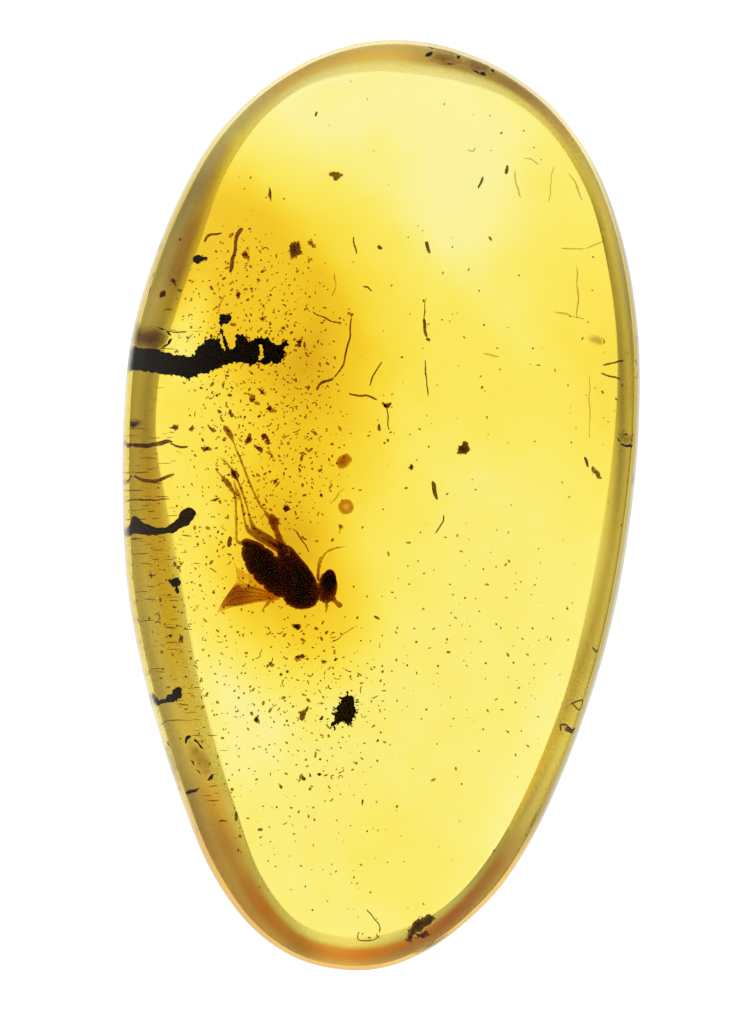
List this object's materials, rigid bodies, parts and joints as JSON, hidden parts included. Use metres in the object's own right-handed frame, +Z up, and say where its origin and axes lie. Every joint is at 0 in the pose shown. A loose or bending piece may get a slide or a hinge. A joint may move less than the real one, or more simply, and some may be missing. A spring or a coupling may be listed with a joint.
{
  "type": "insect in amber",
  "caption": "Clear polished amber stone, egg shaped with a flat base and low domed top, holding a small fly, two plant fragments and scattered scraps.",
  "frame": {"origin": "middle of the stone's box, on the flat base it rests on", "axes": "+Y along the stone towards its broad end, +X across it towards the side away from the fly, +Z up out of the domed top"},
  "size_m": [0.0112, 0.02, 0.0042],
  "materials": {
    "amber": "polished",
    "fly_cuticle": "satin",
    "plant_remains": "matt",
    "bark_scraps": "matt",
    "brown_resin": "satin"
  },
  "bodies": {
    "root": {"amber_lower_half": "amber", "amber_upper_half": "amber", "fly": "fly_cuticle", "plant_fragment": "plant_remains", "curled_fragment": "plant_remains", "bark_chip_large": "bark_scraps", "leaf_scrap": "bark_scraps", "bark_chip_square": "bark_scraps", "bark_chip_wedge": "bark_scraps", "bark_chip_narrow": "bark_scraps", "half_round_chip": "bark_scraps", "thin_flake": "bark_scraps", "bark_chip_upper": "bark_scraps", "bark_chip_middle": "bark_scraps", "leaf_tip": "bark_scraps", "bark_chip_right": "bark_scraps", "bark_chip_edge": "bark_scraps", "resin_bead_upper": "brown_resin", "resin_bead_lower": "brown_resin"}
  },
  "joints": []
}
